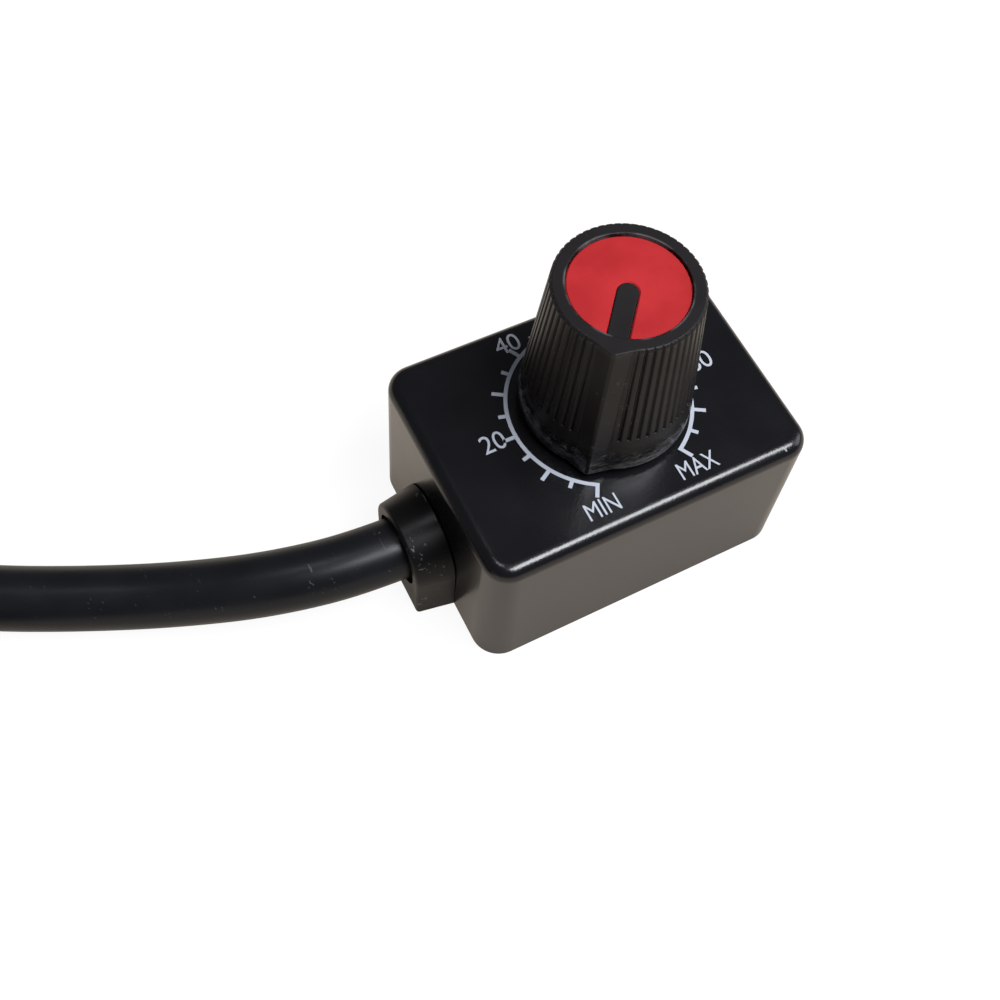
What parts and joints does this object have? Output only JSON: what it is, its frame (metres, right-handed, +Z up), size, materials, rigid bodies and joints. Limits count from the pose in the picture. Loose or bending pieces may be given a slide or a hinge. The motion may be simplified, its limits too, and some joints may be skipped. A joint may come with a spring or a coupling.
{
  "type": "rotary dimmer switch",
  "caption": "Small black moulded dimmer box with a fluted pointer knob and coloured cap on a printed dial scale, and a round cord from its side to a coiled lead with a barrel plug",
  "frame": {"origin": "under the middle of the case, on the surface it stands on", "axes": "+Z is up along the knob's shaft; +X runs along the case's long side, away from the cord; +Y runs across the case to the back, so the dead zone of the dial faces -Y"},
  "size_m": [0.1444, 0.0712, 0.0328],
  "materials": {
    "case_plastic": "moulded, semi-gloss black with fine dust",
    "cover_plastic": "moulded, matt black",
    "zinc_steel": "zinc-plated steel",
    "white_ink": "screen-printed white ink",
    "nickel_brass": "nickel-plated brass",
    "phenolic": "brown phenolic paper laminate",
    "carbon_ink": "screen-printed carbon",
    "silver_ink": "screen-printed silver",
    "tinned_brass": "tin-plated",
    "can_steel": "drawn, zinc-plated",
    "shaft_metal": "turned",
    "rotor_plastic": "moulded, natural white",
    "spring_bronze": "stamped phosphor bronze",
    "knob_plastic": "moulded, satin brown-black, lightly scuffed",
    "cap_red": "moulded, satin red",
    "relief_rubber": "moulded soft plastic, scuffed at its shoulders",
    "cord_jacket": "flexible round jacket, dark blue-grey, satin",
    "core_red": "wire insulation",
    "core_black": "wire insulation",
    "tie_plastic": "moulded, satin",
    "plug_plastic": "overmoulded, satin",
    "plug_nickel": "nickel-plated"
  },
  "bodies": {
    "case": {"housing_shell": "case_plastic", "base_cover": "cover_plastic", "cover_screws": "zinc_steel", "scale_print": "white_ink", "bushing_plate": "nickel_brass", "lock_washer": "zinc_steel", "bushing_nut": "nickel_brass", "resistor_wafer": "phenolic", "carbon_track": "carbon_ink", "collector_ring": "silver_ink", "terminal_front": "tinned_brass", "terminal_middle": "tinned_brass", "terminal_back": "tinned_brass", "terminal_rivets": "tinned_brass", "pot_can": "can_steel", "strain_relief": "relief_rubber", "core_wire_middle": "core_red", "core_wire_front": "core_black", "cord_tube": "cord_jacket", "cord_coil": "cord_jacket", "coil_tie": "tie_plastic", "cord_tail": "cord_jacket", "plug_overmould": "plug_plastic", "plug_sleeve": "plug_nickel", "plug_insulator": "tie_plastic", "plug_contact": "plug_nickel"},
    "knob": {"knob_body": "knob_plastic", "knob_cap": "cap_red", "shaft": "shaft_metal", "shaft_clip": "zinc_steel", "wiper_rotor": "rotor_plastic", "wiper_spring": "spring_bronze"}
  },
  "joints": [
    {"name": "knob_turn", "type": "hinge", "parent": "case", "child": "knob", "pos_m": [0.0008, 0.0006, 0], "axis": [0, 0, 1], "range_deg": [-290, 10]}
  ]
}
